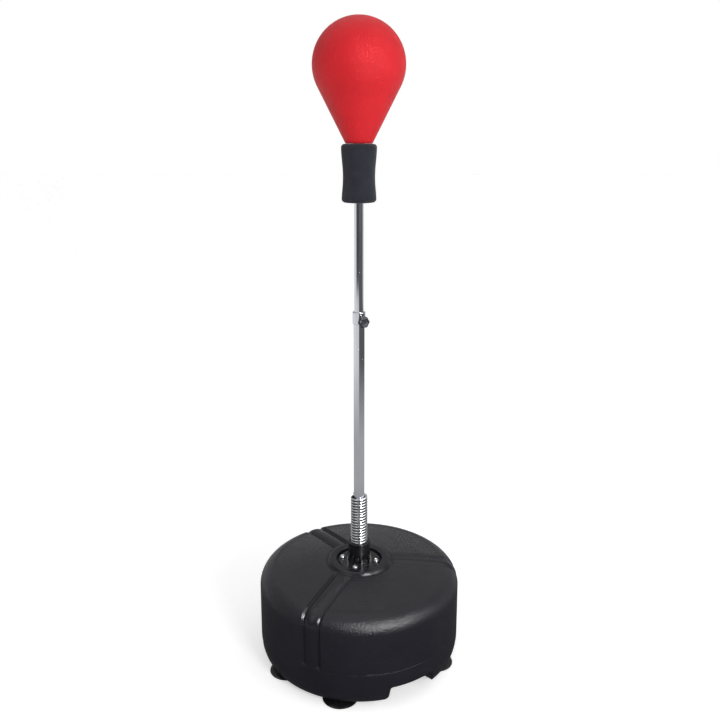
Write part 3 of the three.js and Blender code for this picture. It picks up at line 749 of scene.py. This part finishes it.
def build_tank():
    angles = tank_angles()
    count = len(angles)
    rows, grains = upper_rows(angles)
    low_rows, low_grains = lower_rows(angles)
    rows += low_rows
    grains += low_grains
    points, faces = skin(rows, Vector((0, 0, RECESS_FLOOR)), Vector((0, 0, TANK_BOTTOM)))
    grain_and_coil_shade = [value for row in grains for value in row] + [RECESS_GRAIN, UNDERSIDE_GRAIN]

    columns = [i for i, turn in enumerate(angles) if abs(apart(turn, 180)) < FILLER_WINDOW_TURN]
    left, right = columns[0], columns[-1]
    lines = [j for j, row in enumerate(rows) if FILLER_WINDOW[0] < row[left].z < FILLER_WINDOW[1]]
    top, low = lines[0], lines[-1]
    window = {j * count + i for j in range(top, low) for i in range(left, right)}
    kept = [face for k, face in enumerate(faces) if k not in window]
    edge = [(low, i) for i in range(left, right)]
    edge += [(j, right) for j in range(low, top, -1)]
    edge += [(top, i) for i in range(right, left, -1)]
    edge += [(j, left) for j in range(top, low)]

    rings = filler_rings([rows[j][i] for j, i in edge])
    bottom = Vector((0, FILLER_FLOOR - FILLER_HOLE_DEPTH, FILLER_HEIGHT))
    ring_points, ring_faces = skin(rings, None, bottom)
    start = len(points)
    kept += [tuple(start + i for i in face) for face in ring_faces]
    for k in range(len(edge)):
        after = (k + 1) % len(edge)
        a, b = (j * count + i for j, i in (edge[k], edge[after]))
        kept.append((a, b, start + after, start + k))
    points += ring_points
    grain_and_coil_shade += [FILLER_GRAIN] * len(ring_points)
    tank = make("tank", points, kept, grain_and_coil_shade)
    finish_piece(tank, "base", "tank_plastic", "base_tank")


def build_filler():
    """The gasket, and the fluted cap with a grip bar, turned about Z and laid along the rear."""
    seal_low, seal_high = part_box("filler_seal")
    cap_low, cap_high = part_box("filler_cap")
    middle = Vector((0, (seal_low.y + seal_high.y) / 2, FILLER_HEIGHT))
    lay = Matrix.Translation(middle) @ Matrix.Rotation(-math.pi / 2, 4, "X")
    half = (seal_high.y - seal_low.y) / 2
    seal = turned("filler_gasket", band(0.0186, 0.0249, -half, half, (0.0006,) * 4, 3), 72, ring=True)
    finish_piece(place(seal, lay), "filler_seal", "rubber", "filler_seal")

    inner_end, outer_end = cap_low.y - middle.y, cap_high.y - middle.y
    flange = 0.0013
    radius = 0.0258
    plug = turned("filler_lid", rounded([
        (0, inner_end, 0),
        (0.0165, inner_end, 0.0012),
        (0.0172, flange, 0.0004),
        (radius, flange, 0.0008),
        (radius, flange + 0.0042, 0.0013),
        (0.0205, flange + 0.0044, 0.0006),
        (0.0195, flange + 0.0030, 0.0006),
        (0, flange + 0.0030, 0),
    ], 4), 96)
    flutes, flute_depth = 36, 0.0006
    for vertex in plug.data.vertices:
        reach = math.hypot(vertex.co.x, vertex.co.y)
        if reach > radius - 0.0013:
            wave = 0.5 + 0.5 * math.cos(flutes * math.atan2(vertex.co.y, vertex.co.x))
            vertex.co.xy *= (reach - flute_depth * wave) / reach
    x, y = 0.0175, 0.0030
    outline = rounded([(a, b, 0.0028) for a, b in ((-x, -y), (x, -y), (x, y), (-x, y))], 5, closed=True)
    bar = prism("bar", outline, flange + 0.0020, outer_end - 0.0003)
    bevelled(bar, 0.0010)
    cap = join("filler_lid", [plug, applied(bar)])
    finish_piece(place(cap, lay), "filler_cap", "gloss_plastic", "filler_cap")


def build_cups():
    radius = 0.0409
    wave_height, waves = 0.0005, 6
    for k in range(1, 7):
        low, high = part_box(f"suction_cup_{k}")
        cup = turned(f"cup_{k}", rounded([
            (0, 0.0052, 0),
            (0.0290, 0.0004, 0.004),
            (radius - 0.0003, 0.0, 0.0003),
            (radius, 0.0012, 0.0004),
            (0.0370, 0.0030, 0.004),
            (0.0240, 0.0072, 0.004),
            (0.0130, 0.0088, 0.003),
            (0.0115, TANK_BOTTOM, 0),
            (0, TANK_BOTTOM, 0),
        ], 4), 72)
        for vertex in cup.data.vertices:
            reach = math.hypot(vertex.co.x, vertex.co.y)
            if 0.015 < reach < 0.0402 and vertex.co.z > 0.002:
                wave = math.cos(waves * math.atan2(vertex.co.y, vertex.co.x))
                vertex.co.z += wave_height * wave * blend_step(reach, 0.015, 0.03)
        middle = (low + high) / 2
        place(cup, Matrix.Translation((middle.x, middle.y, 0)))
        finish_piece(cup, "base", "rubber", f"suction_cup_{k}")


# ---------------------------------------------------------------- socket and bolts

BOLT_CIRCLE = 0.0415
BOLT_TURNS = (77, 167, 257, 347)
SOCKET_FLANGE = 0.0500
SOCKET_RIM = 0.0275
SOCKET_BORE = 0.0209
RIBS = 8
RIB_REACH = 0.0318
RIB_HEIGHT = 0.0290


def bolt_spot(turn):
    angle = math.radians(turn)
    return Matrix.Translation((BOLT_CIRCLE * math.cos(angle), BOLT_CIRCLE * math.sin(angle), 0))


def build_socket():
    low = FLANGE_LOW.z
    top = low + 0.006
    rim = FLANGE_HIGH.z
    seat = rim - 0.030
    body = turned("socket", rounded([
        (0, low, 0),
        (SOCKET_FLANGE, low, 0.0005),
        (SOCKET_FLANGE, top, 0.0016),
        (0.0455, top, 0.0006),
        (0.0450, top - 0.0007, 0.0004),
        (0.0360, top - 0.0007, 0.0004),
        (0.0355, top, 0.0006),
        (0.0264, top, 0.0016),
        (0.0260, rim - 0.0070, 0.0010),
        (SOCKET_RIM, rim - 0.0056, 0.0006),
        (SOCKET_RIM, rim, 0.0012),
        (SOCKET_BORE, rim, 0.0010),
        (SOCKET_BORE - 0.0002, seat, 0.0005),
        (0, seat, 0),
    ], 5), 128)
    parts = [body]
    inside = 0.0235
    corners = [
        (inside, top - 0.001),
        (RIB_REACH, top - 0.001),
        (RIB_REACH - 0.001, top + 0.0065),
        (inside, top + RIB_HEIGHT),
    ]
    outline = rounded([(x, z, 0.0010) for x, z in corners], 3, closed=True)
    for k in range(RIBS):
        rib = prism(f"rib_{k}", outline, -0.0014, 0.0014)
        turn = math.radians(BOLT_TURNS[0] + 22.5 + 360 * k / RIBS)
        place(rib, Matrix.Rotation(math.pi / 2, 4, "X"))
        place(rib, Matrix.Rotation(turn, 4, "Z"))
        parts.append(applied(bevelled(rib, 0.0007, 2)))
    for turn in BOLT_TURNS:
        pad = turned("pad", rounded([
            (0, top - 0.001, 0),
            (0.0082, top - 0.001, 0),
            (0.0080, top + 0.00025, 0.0002),
            (0, top + 0.00025, 0),
        ], 3), 40)
        parts.append(place(pad, bolt_spot(turn)))
    socket = join("socket", parts)
    flat_faces_stay_flat(socket)
    finish_piece(socket, "base", "gloss_plastic", "socket_flange")


def cross_recess(size, width, low, high):
    """A plus-shaped cutter."""
    a, b = size / 2, width / 2
    quarter = [(b, a), (-b, a), (-b, b)]
    corners = []
    for _ in range(4):
        corners += quarter
        quarter = [(-y, x) for x, y in quarter]
    return prism("cutter", corners, low, high)


def build_bolts():
    shank, head_radius = 0.0029, 0.0060
    for k, turn in enumerate(BOLT_TURNS, 1):
        spot = bolt_spot(turn)
        spin = spot @ Matrix.Rotation(math.radians(turn) + 0.5 * k, 4, "Z")
        washer_low, washer_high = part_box(f"flange_washer_{k}")
        radii = (0.0002, 0.0003, 0.0004, 0.0002)
        outline = band(0.0033, 0.0066, washer_low.z, washer_high.z, radii, 3)
        washer = turned(f"washer_{k}", outline, 48, ring=True)
        finish_piece(place(washer, spot), "base", "bolt_chrome", f"flange_washer_{k}")
        seat = washer_high.z + 0.0001
        bolt_low, bolt_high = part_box(f"flange_bolt_{k}")
        head = turned(f"bolt_{k}", rounded([
            (0, bolt_low.z, 0),
            (shank, bolt_low.z, 0.0005),
            (shank, seat, 0),
            (head_radius, seat, 0.0003),
            (head_radius, seat + 0.0016, 0.0014),
            (0.0042, seat + 0.0033, 0.0030),
            (0, bolt_high.z, 0),
        ], 5), 56)
        cut(head, cross_recess(0.0058, 0.0013, bolt_high.z - 0.0016, bolt_high.z + 0.002))
        head.data.shade_smooth()
        flat_faces_stay_flat(head)
        finish_piece(place(head, spin), "base", "bolt_chrome", f"flange_bolt_{k}")


# ---------------------------------------------------------------- spring

WIRE = 0.00295
SPRING_MEAN = 0.0172
SPRING_PITCH = 0.00695
SPRING_SPLIT = 0.330


def centre_of(row):
    return sum(row, Vector()) / len(row)


def coil(name, low, high, start_turn, round_low, round_high):
    """A stretch of the spring's wire between two heights of its centreline.

    Its per-point mask is 1 where the wire is left unshaded, outside and on the top coil, and 0 between coils,
    where the material paints shade.
    """
    turns = (high - low) / SPRING_PITCH
    steps = round(turns * 44)
    sides = 14
    slope = SPRING_PITCH / math.tau / SPRING_MEAN
    rows = []
    grain_and_coil_shade = []
    for k in range(steps + 1):
        turn = start_turn + math.tau * turns * k / steps
        out = Vector((math.cos(turn), math.sin(turn), 0))
        along = Vector((-math.sin(turn), math.cos(turn), slope)).normalized()
        up = along.cross(out) * -1
        centre = out * SPRING_MEAN + Vector((0, 0, low + (high - low) * k / steps))
        row = []
        for i in range(sides):
            a = math.tau * i / sides
            row.append(centre + out * WIRE * math.cos(a) + up * WIRE * math.sin(a))
            # painted shade: this mask darkens the wire's inner side and every coil but the top one
            outside = (math.cos(a) - 0.50) / 0.36
            top_coil = (centre.z - SPRING_HIGH.z) / WIRE + 3
            grain_and_coil_shade.append(min(1, max(0, outside, top_coil)))
        rows.append(row)
    if round_low:
        rows.insert(0, blunt_end(rows[0], rows[1]))
        grain_and_coil_shade = grain_and_coil_shade[:sides] + grain_and_coil_shade
    if round_high:
        rows.append(blunt_end(rows[-1], rows[-2]))
        grain_and_coil_shade += grain_and_coil_shade[-sides:]
    points, faces = skin(rows, centre_of(rows[0]), centre_of(rows[-1]))
    return make(name, points, faces, grain_and_coil_shade + [0.5, 0.5])


def blunt_end(last, before):
    """A slightly smaller loop just past the wire's last one."""
    middle = centre_of(last)
    away = (middle - centre_of(before)).normalized()
    return [middle + (point - middle) * 0.86 + away * 0.0004 for point in last]


def build_spring():
    first = SPRING_LOW.z + WIRE
    last = SPRING_HIGH.z - WIRE
    start = -math.pi / 2
    turn_at_split = start + math.tau * (SPRING_SPLIT - first) / SPRING_PITCH
    lower = coil("spring_lower", first, SPRING_SPLIT, start, True, False)
    upper = coil("spring_upper", SPRING_SPLIT, last, turn_at_split, False, True)
    for piece, joint in ((lower, JOINTS["spring_bend_x"]), (upper, JOINTS["spring_bend_y"])):
        finish_piece(piece, None, "spring_chrome", "main_spring")
        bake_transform(piece)


# ---------------------------------------------------------------- tubes, collar and clamp

LOWER_BORE = 0.0115
UPPER_BORE = 0.0098
CLAMP_AXIS = Vector(JOINTS["clamp_travel"]["axis"]).normalized()
CLAMP_HEIGHT = JOINTS["clamp_knob_turn"]["pos_m"][2]


def tube(name, outer, bore, low, high):
    """An open tube with deburred ends, cut into rings so that its shading stays even."""
    lip, every = 0.0004, 0.04
    made = turned(name, band(bore, outer, low, high, (lip / 2, lip, lip, lip / 2)), 96, ring=True)
    work = bmesh.new()
    work.from_mesh(made.data)
    count = int((high - low) / every)
    for k in range(1, count):
        height = low + (high - low) * k / count
        geometry = work.verts[:] + work.edges[:] + work.faces[:]
        bmesh.ops.bisect_plane(work, geom=geometry, plane_co=(0, 0, height), plane_no=(0, 0, 1))
    work.to_mesh(made.data)
    work.free()
    return flat_faces_stay_flat(made)


def build_tubes():
    lower = tube("pole_lower", LOWER_HIGH.x, LOWER_BORE, LOWER_LOW.z, LOWER_HIGH.z)
    finish_piece(lower, "lower_pole", "tube_chrome", "lower_tube")
    upper = tube("pole_upper", UPPER_HIGH.x, UPPER_BORE, UPPER_LOW.z, UPPER_HIGH.z)
    finish_piece(upper, "upper_pole", "tube_chrome", "upper_tube")


def clamp_frame():
    """A frame at the pole's axis whose Z points out along the clamp screw."""
    facing = CLAMP_AXIS.to_track_quat("Z", "Y").to_matrix().to_4x4()
    return Matrix.Translation((0, 0, CLAMP_HEIGHT)) @ facing


def build_collar():
    outer, bore = 0.0150, LOWER_HIGH.x + 0.0003
    radii = (0.0003, 0.0009, 0.0008, 0.0005)
    ring = turned("collar", band(bore, outer, COLLAR_LOW.z, COLLAR_HIGH.z, radii), 96, ring=True)
    hole, boss_low, boss_high = 0.0037, 0.0138, 0.0198
    boss = turned("boss", rounded([
        (hole, boss_low, 0),
        (0.0075, boss_low, 0),
        (0.0073, boss_high, 0.0008),
        (hole, boss_high, 0.0004),
    ], 4, closed=True), 48, ring=True)
    collar = join("collar", [ring, place(boss, clamp_frame())])
    flat_faces_stay_flat(collar)
    finish_piece(collar, "lower_pole", "tube_chrome", "clamp_collar")


def build_knob():
    lobes, reach, lobe_depth = 6, 0.0137, 0.14
    low, high = 0.0209, 0.0302
    dish = high - 0.0010
    shape = [
        (0.55, low),
        (0.80, low),
        (0.93, low + 0.0008),
        (0.99, low + 0.0022),
        (1.00, (low + high) / 2),
        (0.99, high - 0.0026),
        (0.94, high - 0.0011),
        (0.83, high - 0.0002),
        (0.62, high),
        (0.50, high - 0.0007),
        (0.30, dish),
    ]
    sides = 144
    rows = []
    for share, height in shape:
        row = []
        for i in range(sides):
            angle = math.tau * i / sides
            lobe = 0.5 + 0.5 * math.cos(lobes * angle)
            hollow = lobe_depth * (1 - lobe ** 0.6) * blend_step(share, 0.45, 0.9)
            edge = reach * (1 - hollow) * share
            row.append(Vector((edge * math.cos(angle), edge * math.sin(angle), height)))
        rows.append(row)
    points, faces = skin(rows, Vector((0, 0, low)), Vector((0, 0, dish)))
    knob = make("knob", points, faces)
    finish_piece(place(knob, clamp_frame()), "clamp_knob", "knob_plastic", "clamp_knob")


def build_screw():
    low, high = 0.0155, 0.0230
    radius, thread, pitch = 0.00275, 0.0003, 0.00125
    steps, sides = 96, 32
    rows = []
    for k in range(steps + 1):
        height = between(low, high, k / steps)
        row = []
        for i in range(sides):
            angle = math.tau * i / sides
            phase = (height / pitch - angle / math.tau) % 1
            reach = radius + thread * (1 - abs(2 * phase - 1))
            row.append(Vector((reach * math.cos(angle), reach * math.sin(angle), height)))
        rows.append(row)
    points, faces = skin(rows, Vector((0, 0, low)), Vector((0, 0, high)))
    screw = make("screw", points, faces)
    finish_piece(place(screw, clamp_frame()), "clamp_knob", "steel", "clamp_screw")


# ---------------------------------------------------------------- foam sleeve and ball


def build_sleeve():
    """A waisted tube of foam whose top bulges a little round the ball's neck."""
    low, high = SLEEVE_LOW.z, SLEEVE_HIGH.z
    bottom, waist, top = 0.0390, 0.0355, 0.0398
    lip = 0.0078
    bore = UPPER_HIGH.x + 0.0004
    mouth, mouth_floor, bulge = 0.0170, high - 0.050, high + 0.0006
    wall = []
    steps = 40
    for k in range(steps + 1):
        share = k / steps
        height = low + (high - low) * share
        if low + 2 * lip < height < high - 2 * lip:
            ends = between(bottom, top, share)
            pinch = math.sin(math.pi * share ** 0.85) ** 2
            wall.append((ends - (ends - waist) * pinch, height, 0))
    outline = rounded([
        (bore, low, 0.0010),
        (bottom, low, lip),
        *wall,
        (top, high, lip),
        (0.0300, high, 0.0010),
        (0.0285, bulge, 0.0006),
        (mouth, bulge, 0.0016),
        (mouth, mouth_floor, 0.0010),
        (bore, mouth_floor, 0.0006),
    ], 8, closed=True)
    sleeve = turned("foam", outline, 128, ring=True)
    finish_piece(sleeve, "upper_pole", "foam", "foam_sleeve")


def build_ball():
    """A sphere that runs on into a cone, down to a narrow neck."""
    radius = BALL_HIGH.x
    neck = BALL_LOW.z
    neck_opening = 0.0140
    slope = math.radians(26.8)
    centre = BALL_HIGH.z - radius
    tangent = Vector((radius * math.cos(slope), centre - radius * math.sin(slope)))
    neck_radius = tangent.x - (tangent.y - neck) * math.tan(slope)
    corners = [(neck_opening, neck, 0), (neck_radius, neck, 0.0035), (tangent.x, tangent.y, 0)]
    profile = [(0, neck + 0.0005)] + rounded(corners, 6)[:-1]
    cone_start = Vector(profile[-1])
    cone_rows = 34
    for k in range(1, cone_rows):
        at = cone_start.lerp(tangent, k / cone_rows)
        profile.append((at.x, at.y))
    sphere_rows = 56
    for k in range(sphere_rows):
        angle = between(-slope, math.pi / 2, k / sphere_rows)
        profile.append((radius * math.cos(angle), centre + radius * math.sin(angle)))
    profile.append((0, centre + radius))
    ball = turned("ball", profile, 192)
    finish_piece(ball, "upper_pole", "ball_leather", "ball_cover")


def build_valve():
    valve_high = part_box("air_valve")[1].y
    length, hole_floor = 0.0118, 0.0080
    valve = turned("valve", rounded([
        (0, 0, 0),
        (0.0024, 0, 0.0004),
        (0.0026, length, 0.0008),
        (0.0011, length, 0.0004),
        (0.0008, hole_floor, 0),
        (0, hole_floor, 0),
    ], 4), 40)
    seat = Matrix.Translation((0, valve_high - 0.0120, BALL_HIGH.z - BALL_HIGH.x))
    place(valve, seat @ Matrix.Rotation(-math.pi / 2, 4, "X"))
    finish_piece(valve, "upper_pole", "rubber", "air_valve")


# ---------------------------------------------------------------- CAD nodes that stay


def finish_hidden_nodes():
    """Pieces inside the stand keep their CAD shape and get a real finish."""
    slots = {part["node"]: part["material_slot"] for part in frame["record"]["subparts"]}
    for name, node in frame["nodes"].items():
        node.data.materials.clear()
        node.data.materials.append(LOOKS[slots[name]])
        node.data.shade_flat()


# ---------------------------------------------------------------- studio

MATTE_LIGHT = 0.58
BACKDROP = 1.0
# (degrees from the front, degrees up, where it fades out, where it is full, strength)
SPOTS = ((27, 25, 14, 7, 42.0), (66, 20, 36, 10, 1.6), (-50, 40, 26, 8, 1.0))
LAMP_DISTANCE = 2.6
CAMERA_PLACE = (0.0022, -1.760, 1.2273)
CAMERA_TILT = 11.936  # degrees below the horizontal
CAMERA_LENS = 39.5
CAMERA_SHIFT = -0.0694


def build_floor():
    """A pale floor. Reflections see it glow with painted light instead: a dim sheet near the stand, painted shade
    for the stand's shadow.

    Farther out they see it glow lit, but dark to the right in front, and to the left in front past 5 m, all
    painted reflection.
    """
    size = 30
    sink = 0.0005
    corners = [(-size, -size, -sink), (size, -size, -sink), (size, size, -sink), (-size, size, -sink)]
    floor = make("floor", corners, [(0, 1, 2, 3)])
    m = Nodes("floor")
    m.set(Roughness=0.9, Specular_IOR_Level=0.1)
    m.colours(m.noise(3, 2), (0.3, (0.90, 0.90, 0.90)), (0.7, (0.92, 0.92, 0.92)))
    split = m.add("ShaderNodeSeparateXYZ")
    m.link(m.object, split.inputs[0])
    x, y = split.outputs["X"], split.outputs["Y"]
    square = m.maths("ADD", m.maths("MULTIPLY", x, x), m.maths("MULTIPLY", y, y))
    distance = m.maths("POWER", square, 0.5)
    toward_camera = m.maths("MULTIPLY", m.maths("DIVIDE", y, distance), -1)
    to_right = m.ranged(m.maths("DIVIDE", x, distance), -0.03, 0.03, 0, 1)
    lit, dark = 0.80, 0.11
    left_front = m.ranged(distance, 4.5, 5.2, 0.72, 0.07)
    left_side = m.ranged(toward_camera, 0.30, 0.55, 1, 0)
    right_edge = m.ranged(distance, 3.6, 4.3, -0.92, -0.05)
    right_side = m.ranged(m.maths("SUBTRACT", toward_camera, right_edge), -0.15, 0, 1, 0)
    far = m.mixed(to_right, m.mixed(left_side, left_front, lit), m.mixed(right_side, dark, lit))
    # painted shade: reflections see a dim sheet near the stand, standing in for its shadow
    sheet = m.ranged(distance, 0.45, 0.95, 0.07, 0.42)
    near = m.ranged(distance, 1.4, 2.6, 1, 0)
    # painted reflection: glossy rays see the floor glow with this pattern instead of its lit colour
    glow = m.add("ShaderNodeEmission")
    m.link(m.mixed(near, far, sheet), glow.inputs["Strength"])
    path = m.add("ShaderNodeLightPath")
    lift = m.add("ShaderNodeEmission")
    m.link(m.maths("MULTIPLY", path.outputs["Is Camera Ray"], 0.46), lift.inputs["Strength"])
    lifted = m.add("ShaderNodeAddShader")
    m.link(m.shader.outputs["BSDF"], lifted.inputs[0])
    m.link(lift.outputs["Emission"], lifted.inputs[1])
    surface = m.either(
        path.outputs["Is Glossy Ray"], lifted.outputs["Shader"], glow.outputs["Emission"]
    )
    m.link(surface, m.tree.nodes["Material Output"].inputs["Surface"])
    m.material.cycles.emission_sampling = "NONE"
    floor.data.materials.append(m.material)


def build_world():
    """White behind the object, and an even fill for matte surfaces.

    Reflections see a dim room, brighter to the rear and above, with a few bright spots.
    """
    world = bpy.data.worlds.new("studio")
    bpy.context.scene.world = world
    world.use_nodes = True
    world.node_tree.nodes.clear()
    w = Tree(world.node_tree)

    def background(strength):
        node = w.add("ShaderNodeBackground")
        node.inputs["Color"].default_value = (1, 1, 1, 1)
        w.fill(node.inputs["Strength"], strength)
        return node.outputs["Background"]

    way = w.add("ShaderNodeTexCoord").outputs["Generated"]
    split = w.add("ShaderNodeSeparateXYZ")
    w.link(way, split.inputs[0])
    rear = w.ranged(split.outputs["Y"], -0.35, 0.30, 0.10, 0.38, "SMOOTHSTEP")
    above = w.ranged(split.outputs["Z"], 0.55, 0.95, 0.0, 1.0, "SMOOTHSTEP")
    total = w.maths("ADD", rear, above)
    for turn, rise, wide, narrow, strength in SPOTS:
        rise = math.radians(rise)
        facing = w.add("ShaderNodeVectorMath", operation="DOT_PRODUCT")
        w.link(way, facing.inputs[0])
        facing.inputs[1].default_value = from_front(turn) * math.cos(rise) + Vector((0, 0, math.sin(rise)))
        edges = (math.cos(math.radians(wide)), math.cos(math.radians(narrow)))
        spot = w.ranged(facing.outputs["Value"], *edges, 0.0, strength, "SMOOTHSTEP")
        total = w.maths("ADD", total, spot)
    path = w.add("ShaderNodeLightPath")
    lit = w.either(path.outputs["Is Glossy Ray"], background(MATTE_LIGHT), background(total))
    shown = w.either(path.outputs["Is Camera Ray"], lit, background(BACKDROP))
    w.link(shown, w.add("ShaderNodeOutputWorld").inputs["Surface"])
    world.cycles.sampling_method = "NONE"


def area_light(name, turn, height, aim_height, wide, tall, power):
    """A soft lamp in a direction from the front, aimed at the pole's axis."""
    light = bpy.data.lights.new(name, "AREA")
    light.shape = "RECTANGLE"
    light.size = wide
    light.size_y = tall
    light.energy = power
    lamp = bpy.data.objects.new(name, light)
    bpy.context.scene.collection.objects.link(lamp)
    lamp.location = from_front(turn) * LAMP_DISTANCE + Vector((0, 0, height))
    aim = Vector((0, 0, aim_height)) - lamp.location
    lamp.rotation_euler = aim.to_track_quat("-Z", "Y").to_euler()


def build_lights():
    area_light("key", 27, 1.45, 0.75, 0.7, 0.7, 30)
    area_light("side", 62, 1.75, 0.40, 1.3, 0.5, 8)


def build_camera():
    data = bpy.data.cameras.new("camera")
    data.sensor_width = 36
    data.lens = CAMERA_LENS
    data.shift_y = CAMERA_SHIFT
    camera = bpy.data.objects.new("camera", data)
    bpy.context.scene.collection.objects.link(camera)
    camera.location = CAMERA_PLACE
    camera.rotation_euler = (math.radians(90 - CAMERA_TILT), 0, 0)
    bpy.context.scene.camera = camera


finish_hidden_nodes()
build_tank()
build_filler()
build_cups()
build_socket()
build_bolts()
build_spring()
build_tubes()
build_collar()
build_knob()
build_screw()
build_sleeve()
build_ball()
build_valve()
build_floor()
build_world()
build_lights()
build_camera()
bpy.context.scene.view_settings.view_transform = "Standard"
